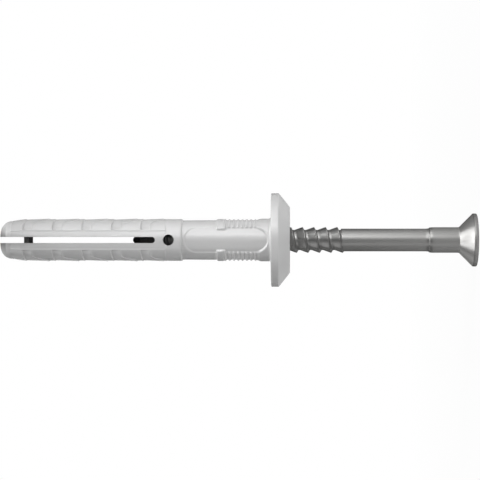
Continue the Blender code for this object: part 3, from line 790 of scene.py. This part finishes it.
def neck_rule(body, neck):
    """Node tree that ribs the neck and sinks the label pads."""
    rule = Rule("Neck ribs and pads", {
        "Sleeve top": SLEEVE_TOP,
        "Pad middle": (neck.pad_start + neck.pad_end) / 2,
        "Pad half length": (neck.pad_end - neck.pad_start) / 2,
        "Ring middle": (body.ring_start + body.ring_ramp * 0.5 + neck.rib_start) / 2,
        "Ring half length": (neck.rib_start - body.ring_start - body.ring_ramp * 0.5) / 2,
        **named(neck, "rib_start", "rib_end", "rib_pitch", "rib_phase", "rib_height", "pad_half",
                "pad_floor", "pad_wall", "ring_lap"),
    })
    size = rule.size
    half_width, half_length = size("Pad half"), size("Pad half length")
    wall, floor, pitch = size("Pad wall"), size("Pad floor"), size("Rib pitch")
    first, last = size("Rib start"), size("Rib end")
    x, y, z = rule.point()
    station = size("Sleeve top") - z
    radius = rule.most(rule.math('SQRT', x * x + y * y), LEAST_RADIUS)
    outer = rule.math('GREATER_THAN', radius, floor - wall)
    fade = pitch * 0.25
    ribbed = (rule.ramp(station, first, first + fade, smooth=True)
              * rule.ramp(station, last - fade, last, 1.0, 0.0, smooth=True))
    wave = rule.math('SINE', (station - size("Rib phase")) / pitch * (2 * pi))
    ribbed_radius = radius + wave * size("Rib height") * ribbed * outer
    across = rule.math('ABSOLUTE', x)
    along = rule.math('ABSOLUTE', station - size("Pad middle"))
    past = rule.most(along - (half_length - half_width), 0.0)
    to_edge = rule.math('SQRT', across * across + past * past) - half_width
    lap = size("Ring lap")
    beside_ring = rule.math('ABSOLUTE', station - size("Ring middle")) - size("Ring half length")
    into_ring = across - (half_width - lap)
    corner = rule.most(rule.math('SMOOTH_MAX', beside_ring, -into_ring, lap * 1.5), -lap)
    to_pad = rule.math('SMOOTH_MAX', to_edge, -corner, lap * 0.3)
    half_wall = wall * 0.5
    sunk = rule.ramp(to_pad, -half_wall, half_wall, 1.0, 0.0, smooth=True) * outer
    depth = rule.most(ribbed_radius - floor, 0.0)
    limit = rule.math('LESS_THAN', along, half_length + wall)
    final = ribbed_radius - depth * sunk * limit
    factor = final / radius
    rule.place(x * factor, y * factor, z)
    return rule.end()


def thread_rule(nail, start, turns):
    """Node tree that winds one pitch of the thread's section round the nail."""
    rule = Rule("Nail thread", {
        "Turns": float(turns),
        "Steps": THREAD_STEPS * turns + 1,
        "Rows": THREAD_ROWS + 1,
        "Start": start,
        "First crest": nail.shank_end - nail.flank,
        "Last crest": nail.length - nail.point_length - nail.ramp,
        "First fade": nail.pitch * 0.1,
        "Last fade": nail.pitch * 0.5,
        **named(nail, "pitch", "root_radius", "crest_radius", "ramp", "land", "flank"),
    })
    size = rule.size
    grid = rule.node('GeometryNodeMeshGrid', 1.0, 1.0, size("Steps"), size("Rows"))
    rule.geometry = grid.outputs["Mesh"]
    x, y, _ = rule.point()
    wound = (x + 0.5) * size("Turns")
    row = y + 0.5
    half_land = size("Land") * 0.5
    foot = half_land + size("Ramp")
    places = [row_number / THREAD_ROWS for row_number in (0, 12, 13, 17, 24)]
    height = rule.knots(row, places, [foot, half_land, -half_land, -half_land - size("Flank"),
                                      foot - size("Pitch")])
    root = size("Root radius") + row * 0.0
    crest = size("Crest radius") + row * 0.0
    radius = rule.knots(row, places, [root, crest, crest, root, root])
    crest_height = size("Start") + wound * size("Pitch")
    first, last = size("First crest"), size("Last crest")
    grown = (rule.ramp(crest_height, first - size("First fade"), first, smooth=True)
             * rule.ramp(crest_height, last - size("Last fade"), last, 1.0, 0.0, smooth=True))
    radius = root + (radius - root) * grown
    turn = wound * (2 * pi)
    rule.place(radius * rule.math('COSINE', turn), radius * rule.math('SINE', turn),
               crest_height + height)
    merged = rule.node('GeometryNodeMergeByDistance', rule.geometry)
    fill(merged, {"Distance": THREAD_WELD})
    rule.geometry = merged.outputs[0]
    return rule.end()


class Paint:
    """A material's node tree, with short ways to add nodes."""

    def __init__(self, name):
        self.material = bpy.data.materials.new(name)
        self.material.use_nodes = True
        self.nodes = self.material.node_tree.nodes
        self.links = self.material.node_tree.links
        self.shader = self.nodes["Principled BSDF"]

    def node(self, kind, **settings):
        """A node with its settings."""
        made = self.nodes.new(kind)
        for name, value in settings.items():
            setattr(made, name, value)
        return made

    def join(self, output, target):
        """Link an output to an input."""
        self.links.new(output, target)

    def position(self, scale):
        """Object coordinates, stretched by a scale."""
        mapping = self.node('ShaderNodeMapping')
        fill(mapping, {"Scale": scale})
        self.join(self.node('ShaderNodeTexCoord').outputs["Object"], mapping.inputs["Vector"])
        return mapping.outputs[0]

    def distance(self, scale):
        """Length of the stretched object coordinates."""
        made = self.node('ShaderNodeVectorMath', operation='LENGTH')
        self.join(self.position(scale), made.inputs[0])
        return made.outputs["Value"]

    def height(self):
        """Height over the floor."""
        made = self.node('ShaderNodeSeparateXYZ')
        self.join(self.position(EVENLY), made.inputs[0])
        return made.outputs["Z"]

    def noise(self, stretch, scale, detail=3.0, rough=0.5):
        """Noise over the stretched object coordinates."""
        made = self.node('ShaderNodeTexNoise')
        fill(made, {"Scale": scale, "Detail": detail, "Roughness": rough})
        self.join(self.position(stretch), made.inputs["Vector"])
        return made.outputs["Fac"]

    def remap(self, value, low, high, start=0.0, end=1.0):
        """Go from low to high while the value goes from start to end."""
        made = self.node('ShaderNodeMapRange')
        fill(made, {"From Min": start, "From Max": end, "To Min": low, "To Max": high})
        self.join(value, made.inputs["Value"])
        return made.outputs[0]

    def mottle(self, noise, tone, amount):
        """A colour that a noise makes a little darker and lighter."""
        made = self.node('ShaderNodeMix', data_type='RGBA')
        self.join(self.remap(noise, 0.0, 1.0, *NOISE_RANGE), made.inputs[0])
        ends = [socket for socket in made.inputs if socket.type == 'RGBA']
        for socket, factor in zip(ends, (1.0 - amount, 1.0 + amount)):
            socket.default_value = (*(min(1.0, part * factor) for part in tone), 1.0)
        return next(socket for socket in made.outputs if socket.type == 'RGBA')

    def math(self, operation, first, second):
        """A sum or product of two numbers."""
        made = self.node('ShaderNodeMath', operation=operation)
        self.join(first, made.inputs[0])
        self.join(second, made.inputs[1])
        return made.outputs[0]

    def darken(self, tone, factor):
        """A colour times a number."""
        made = self.node('ShaderNodeVectorMath', operation='SCALE')
        self.join(tone, made.inputs[0])
        self.join(factor, made.inputs["Scale"])
        return made.outputs[0]

    def bump(self, height, distance, strength):
        """Bump from a height."""
        made = self.node('ShaderNodeBump')
        fill(made, {"Distance": distance, "Strength": strength})
        self.join(height, made.inputs["Height"])
        return made.outputs[0]

    def finish(self, tone, rough, bump):
        """Join the shader's three textured inputs and return the material."""
        for name, output in (("Base Color", tone), ("Roughness", rough), ("Normal", bump)):
            self.join(output, self.shader.inputs[name])
        return self.material


def nylon_material(finish):
    """Light grey moulded nylon with a soft grain; painted shade inside, at the tip and by the slot."""
    paint = Paint("Light grey nylon")
    fill(paint.shader, {"IOR": 1.53, "Specular IOR Level": 1.0, "Subsurface Weight": 0.05,
                        "Subsurface Radius": (1.0, 1.0, 1.0), "Subsurface Scale": 0.3 * MM})
    grain = paint.noise(EVENLY, 5200.0, 4.0)
    cloud = paint.noise((1.0, 1.0, 0.45), 420.0)
    tone = paint.mottle(cloud, finish.nylon, 0.005)
    height = paint.height()
    from_slot = paint.distance(FROM_SLOT)

    def near_tip(low, high, start, end=0.0):
        """Go from low to high between two distances from the tip."""
        return paint.remap(height, low, high, SLEEVE_TOP - start, SLEEVE_TOP - end)

    # Painted shade that grows towards the tip.
    for start, painted_tip_tone in PAINTED_TIP_SHADES:
        tone = paint.darken(tone, near_tip(1.0, painted_tip_tone, start))
    # Painted shade on the strip and the nose next to the slot: its tone, the
    # distances from the slot's middle plane where it is full and gone, and those
    # from the tip where it starts and is full, all in millimetres.
    for painted_slot_shade, full, gone, start, end in (
            (finish.painted_strip_shade, 0.45, 1.35, 9.0, 0.0), (finish.painted_nose_shade, 0.5, 2.1, 1.15, 0.95)):
        beside = paint.remap(from_slot, 0.0, -1.0, full * MM, gone * MM)
        mask = paint.math('ADD', beside, near_tip(0.0, 1.0, start * MM, end * MM))
        tone = paint.darken(tone, paint.remap(mask, 1.0, painted_slot_shade))
    # The nose is narrower than the bore's wall, and still counts as outside.
    outward = paint.math('ADD', paint.distance(FROM_AXIS),
                         near_tip(0.0, 3.0 * MM, 2.3 * MM, 1.9 * MM))
    # Painted shade deep inside the sleeve, and the rougher bore.
    tone = paint.darken(tone, paint.remap(outward, finish.painted_bore_shade, 1.0, *SKIN))
    rough = paint.remap(outward, finish.bore_roughness, finish.nylon_roughness, *SKIN)
    rough = paint.math('ADD', rough, near_tip(0.0, finish.nose_roughness, 1.8 * MM, 1.0 * MM))
    return paint.finish(tone, rough, paint.bump(grain, 0.002 * MM, 0.4))


def steel_material(finish):
    """Bright zinc plating on drawn steel, streaked along the nail; painted shade inside, painted
    highlight on the cone.
    """
    paint = Paint("Zinc plated steel")
    fill(paint.shader, {"Metallic": finish.steel_metallic, "Specular Tint": (0.2, 0.2, 0.2, 1.0)})
    streaks = paint.noise((1.0, 1.0, 0.035), 9000.0, 4.0, 0.6)
    cloud = paint.noise(EVENLY, 900.0)
    tone = paint.mottle(streaks, finish.steel, 0.05)
    height = paint.height()
    # Painted highlight on the head's cone, raised by this factor.
    gain = finish.painted_cone_highlight
    # Painted shade on the nail inside the sleeve and a painted highlight on the
    # head's cone: tone factor, and the heights in millimetres between which it sets in.
    for factor, start, end in ((finish.painted_nail_shade, 42.5, 47.5), (gain, 0.62, 0.72),
                               (1.0 / gain, 2.55, 2.75)):
        tone = paint.darken(tone, paint.remap(height, 1.0, factor, start * MM, end * MM))
    rough = finish.steel_roughness
    rough = paint.remap(cloud, rough - 0.015, rough + 0.015, *NOISE_RANGE)
    return paint.finish(tone, rough, paint.bump(streaks, 0.0006 * MM, 0.2))


def build_sleeve(plug):
    """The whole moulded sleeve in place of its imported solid."""
    body, legs, neck, bore = plug.sleeve, plug.legs, plug.neck, plug.bore
    material = nylon_material(plug.finish)
    top = SLEEVE_TOP
    section = (legs_section(body, legs) + neck_section(body, neck) + collar_section(body)
               + bore_section(body, bore))
    profile = [(radius, top - station) for radius, station in section]
    blank = add_object("moulded_sleeve", turned("moulded_sleeve", profile, sleeve_columns()))
    for rule in (leg_rule(body, legs, bore), neck_rule(body, neck)):
        blank.data = rule.bake(blank, material)
    tidy(blank.data)
    past = 2 * MM
    reach = body.radius + past
    half = legs.slot_width / 2
    slot = prism("slot", [(half, top + past), (-half, top + past)]
                 + arc(0.0, top - legs.slot_length + half, half, pi, 2 * pi, 24), -reach, reach)
    low = top - legs.web_start - legs.web_length
    high = top - legs.web_start
    wide = 2 * legs.slot_width
    web = prism("web", [(-wide, low), (wide, low), (wide, high), (-wide, high)],
                -legs.web_depth, legs.web_depth)
    cut(slot, web)
    hole = prism("hole", arc(0.0, top - legs.hole_station, legs.hole_diameter / 2,
                             0.0, 2 * pi, HOLE_STEPS)[:-1], -reach, reach)
    cut(blank, slot)
    cut(blank, hole)
    tidy(blank.data)
    shade(blank, material, 34.0)
    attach(blank, "root")
    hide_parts("plug_sleeve")
    return blank


def nail_section(nail):
    """Half section of the head and shank as (radius, height), from the top down."""
    shank, upper, bevel, rim = nail.shank_radius, nail.upper_radius, nail.shank_edge, nail.head_edge
    end = nail.shank_end
    neck = nail.head_rim + (nail.head_radius - upper) / tan(nail.countersink)
    run_start = nail.upper_end + nail.upper_step / 2 + nail.upper_blend / 2
    points = [(0.0, end + bevel), (shank - bevel, end + bevel),
              (shank - 0.3 * bevel, end + 0.7 * bevel)]
    points += straight(shank, (end, end - 0.5 * bevel, end - 1.2 * bevel))
    points += straight(shank, reversed(spread(run_start + 2 * bevel, end - 2 * bevel, 1.5 * MM)))
    steps = 32
    for index in range(steps + 1):
        height = run_start - nail.upper_blend * index / steps
        soft = nail.upper_share * smooth_step(index / steps)
        hard = smooth_step((nail.upper_end + nail.upper_step - height) / nail.upper_step)
        grown = soft + (1 - nail.upper_share) * hard
        points.append((shank + (upper - shank) * grown, height))
    points += straight(upper, reversed(spread(neck + 2.5 * bevel, run_start - nail.upper_blend - bevel,
                                              1.0 * MM)))
    bend = pi / 2 - nail.countersink
    points += arc(upper + nail.neck_fillet, neck + nail.neck_fillet * tan(bend / 2), nail.neck_fillet,
                  pi, pi + bend, 5)
    points += between((upper, neck), (nail.head_radius, nail.head_rim), (0.35, 0.65))
    points += arc(nail.head_radius - nail.cone_edge,
                  nail.head_rim - nail.cone_edge * tan(nail.countersink / 2), nail.cone_edge,
                  nail.countersink, 0.0, 4)
    points += arc(nail.head_radius - rim, rim, rim, 0.0, -pi / 2, 6)
    points += [(nail.head_radius * 0.8, 0.0), (nail.head_radius * 0.4, 0.0), (0.0, 0.0)]
    return points


def close_thread(mesh, nail):
    """Trim the wound thread to length, give it its point and close it."""
    low = nail.shank_end - nail.pitch / 2
    high = nail.length - nail.point_length
    work = bmesh.new()
    work.from_mesh(mesh)
    bmesh.ops.remove_doubles(work, verts=work.verts, dist=THREAD_WELD)
    for height, normal in ((low, (0.0, 0.0, -1.0)), (high, (0.0, 0.0, 1.0))):
        bmesh.ops.bisect_plane(work, geom=work.verts[:] + work.edges[:] + work.faces[:], dist=SLACK,
                               plane_co=(0.0, 0.0, height), plane_no=normal, clear_outer=True)
    rim = [edge for edge in work.edges if edge.is_boundary and edge.verts[0].co.z > (low + high) / 2]
    slope = atan2(nail.root_radius - nail.point_radius, nail.point_length - nail.point_radius)
    before = nail.root_radius
    steps = 8
    for index in range(steps):
        turn = slope + (pi / 2 - slope) * index / steps
        radius = nail.point_radius * cos(turn)
        rim = bmesh.ops.extrude_edge_only(work, edges=rim)["geom"]
        for corner in rim:
            if isinstance(corner, bmesh.types.BMVert):
                corner.co.x *= radius / before
                corner.co.y *= radius / before
                corner.co.z = nail.length - nail.point_radius * (1 - sin(turn))
        rim = [edge for edge in rim if isinstance(edge, bmesh.types.BMEdge)]
        before = radius
    bmesh.ops.holes_fill(work, edges=[edge for edge in work.edges if edge.is_boundary], sides=0)
    bmesh.ops.recalc_face_normals(work, faces=work.faces)
    work.to_mesh(mesh)
    work.free()


def recess_wing(nail, turn):
    """One tapered wing of the cross recess."""
    work = bmesh.new()
    bmesh.ops.create_cube(work, size=2.0)
    for corner in work.verts:
        narrowing = 1.0 - corner.co.z * (1.0 - nail.recess_taper)
        corner.co.x *= nail.recess_span / 2 * narrowing
        corner.co.y *= nail.recess_wing / 2 * (1.0 - nail.recess_draft * corner.co.z)
        corner.co.z *= nail.recess_depth
    bmesh.ops.rotate(work, verts=work.verts, matrix=Matrix.Rotation(turn, 3, 'Z'))
    return add_object("recess_wing", finished("recess_wing", work))


def build_nail(plug):
    """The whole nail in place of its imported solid."""
    nail = plug.nail
    material = steel_material(plug.finish)
    columns = [2 * pi * (index + 0.5) / NAIL_STEPS for index in range(NAIL_STEPS)]
    thing = add_object("threaded_nail", turned("threaded_nail", nail_section(nail), columns))
    phase = (nail.crest_front + nail.pitch / 4) % nail.pitch
    spare = 3
    start = phase + nail.pitch * (int(nail.shank_end / nail.pitch) - spare)
    turns = int((nail.length - start) / nail.pitch) + spare
    rod = add_object("thread", bpy.data.meshes.new("thread"))
    rod.data = thread_rule(nail, start, turns).bake(rod, material)
    close_thread(rod.data, nail)
    cut(thing, rod, 'UNION')
    for turn in (0.0, pi / 2):
        cut(thing, recess_wing(nail, turn))
    tidy(thing.data)
    shade(thing, material, 30.0)
    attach(thing, "root")
    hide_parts("nail_screw")
    return thing


def stage_material():
    """White floor that keeps a soft part of the plug's shadow."""
    paint = Paint("Studio floor")
    paint.nodes.remove(paint.shader)
    diffuse = paint.node('ShaderNodeBsdfDiffuse')
    fill(diffuse, {"Color": (0.8, 0.8, 0.8, 1.0)})
    glow = paint.node('ShaderNodeEmission')
    fill(glow, {"Color": WHITE})
    seen = paint.node('ShaderNodeLightPath').outputs["Is Camera Ray"]
    near, far = 0.02, 0.15
    whiter = paint.remap(paint.distance(EVENLY), 0.95, 1.0, near, far)
    mix = paint.node('ShaderNodeMixShader')
    share_seen = paint.math('MULTIPLY', seen, whiter)
    for output, target in zip((share_seen, diffuse.outputs[0], glow.outputs[0]), mix.inputs):
        paint.join(output, target)
    paint.join(mix.outputs[0], paint.nodes["Material Output"].inputs[0])
    return paint.material


def softbox(name, round_plug, to_tip, width, height, strength):
    """An area lamp that faces the plug from an angle round it, counted from the
    camera over +X, and an angle towards its tip. Strength is its radiance."""
    lamp = bpy.data.lights.new(name, 'AREA')
    lamp.shape = 'RECTANGLE'
    lamp.size = width
    lamp.size_y = height
    lamp.energy = strength * pi * width * height
    thing = bpy.data.objects.new(name, lamp)
    bpy.context.scene.collection.objects.link(thing)
    away = Vector((sin(round_plug) * cos(to_tip), -cos(round_plug) * cos(to_tip), sin(to_tip)))
    thing.location = Vector((0.0, 0.0, CAD_BOX[1].z / 2)) + away * LAMP_DISTANCE
    thing.rotation_mode = 'QUATERNION'
    thing.rotation_quaternion = (-away).to_track_quat('-Z', 'Y')
    return thing


def build_stage(plug):
    """Floor, white surroundings, lamps and the camera."""
    studio = plug.studio
    scene = bpy.context.scene
    scene.view_settings.view_transform = 'Standard'
    work = bmesh.new()
    bmesh.ops.create_grid(work, x_segments=1, y_segments=1, size=3.0)
    floor = add_object("studio_floor", finished("studio_floor", work))
    floor.data.materials.append(stage_material())
    floor.location.z = CAD_BOX[0].z - 0.02 * MM
    world = bpy.data.worlds.new("Studio")
    scene.world = world
    world.use_nodes = True
    nodes = world.node_tree.nodes
    links = world.node_tree.links
    background = nodes["Background"]
    fill(background, {"Color": WHITE})
    path = nodes.new('ShaderNodeLightPath')
    seen = nodes.new('ShaderNodeMath')
    seen.operation = 'MAXIMUM'
    links.new(path.outputs["Is Camera Ray"], seen.inputs[0])
    links.new(path.outputs["Is Transmission Ray"], seen.inputs[1])
    level = nodes.new('ShaderNodeMapRange')
    fill(level, {"To Min": studio.ambient, "To Max": 1.0})
    links.new(seen.outputs[0], level.inputs["Value"])
    links.new(level.outputs[0], background.inputs["Strength"])
    for name, round_plug, to_tip, width, height, strength in SOFTBOXES:
        softbox(name, radians(round_plug), radians(to_tip), width, height, strength * studio.power)
    camera_data = bpy.data.cameras.new("camera")
    camera_data.lens = studio.lens
    camera_data.sensor_width = 36.0
    camera_data.clip_start = 0.01
    camera_data.clip_end = 10.0
    camera = bpy.data.objects.new("camera", camera_data)
    scene.collection.objects.link(camera)
    facing = Matrix(((0.0, 1.0, 0.0), (0.0, 0.0, -1.0), (-1.0, 0.0, 0.0))).to_4x4()
    turn = Matrix.Rotation(atan2(studio.aim - studio.height, studio.distance), 4, 'X')
    camera.matrix_world = Matrix.Translation((0.0, -studio.distance, studio.height)) @ turn @ facing
    scene.camera = camera


class PLUG_OT_stage(bpy.types.Operator):
    """Build the floor, the lamps and the camera"""

    bl_idname = "plug.stage"
    bl_label = "Studio"

    def execute(self, context):
        build_stage(context.scene.plug)
        return {'FINISHED'}


class PLUG_OT_sleeve(bpy.types.Operator):
    """Build the moulded nylon sleeve"""

    bl_idname = "plug.sleeve"
    bl_label = "Sleeve"

    def execute(self, context):
        build_sleeve(context.scene.plug)
        return {'FINISHED'}


class PLUG_OT_nail(bpy.types.Operator):
    """Build the zinc-plated nail with its thread"""

    bl_idname = "plug.nail"
    bl_label = "Nail"

    def execute(self, context):
        build_nail(context.scene.plug)
        return {'FINISHED'}


class PlugSettings(bpy.types.PropertyGroup):
    """All sizes and colours of the plug."""

    sleeve: bpy.props.PointerProperty(type=PlugSleeveSizes, name="Sleeve")
    legs: bpy.props.PointerProperty(type=PlugLegSizes, name="Legs")
    neck: bpy.props.PointerProperty(type=PlugNeckSizes, name="Neck")
    bore: bpy.props.PointerProperty(type=PlugBoreSizes, name="Bore")
    nail: bpy.props.PointerProperty(type=PlugNailSizes, name="Nail")
    finish: bpy.props.PointerProperty(type=PlugFinish, name="Finish")
    studio: bpy.props.PointerProperty(type=PlugStudio, name="Studio")


class PLUG_PT_panel(bpy.types.Panel):
    """Buttons for the plug's pieces, with their sizes below"""

    bl_idname = "PLUG_PT_panel"
    bl_label = "Hammer fixing plug"
    bl_space_type = 'VIEW_3D'
    bl_region_type = 'UI'
    bl_category = "Plug"

    def draw(self, context):
        column = self.layout.column()
        for operator in OPERATORS:
            column.operator(operator.bl_idname)
        settings = context.scene.plug
        for group in ("sleeve", "legs", "neck", "bore", "nail", "finish", "studio"):
            box = self.layout.box()
            part = getattr(settings, group)
            box.label(text=group.title())
            for name in part.bl_rna.properties.keys():
                if name not in ("rna_type", "name"):
                    box.prop(part, name)


OPERATORS = (PLUG_OT_stage, PLUG_OT_sleeve, PLUG_OT_nail)
GROUPS = (PlugSleeveSizes, PlugLegSizes, PlugNeckSizes, PlugBoreSizes, PlugNailSizes, PlugFinish,
          PlugStudio, PlugSettings)


def register():
    """Make the classes known and hang the settings on the scene."""
    for kind in (*GROUPS, *OPERATORS, PLUG_PT_panel):
        bpy.utils.register_class(kind)
    bpy.types.Scene.plug = bpy.props.PointerProperty(type=PlugSettings)


def unregister():
    """Undo register."""
    del bpy.types.Scene.plug
    for kind in reversed((*GROUPS, *OPERATORS, PLUG_PT_panel)):
        bpy.utils.unregister_class(kind)


def main():
    """Build everything in order."""
    register()
    bpy.ops.plug.stage()
    bpy.ops.plug.sleeve()
    bpy.ops.plug.nail()


if __name__ == "__main__":
    main()
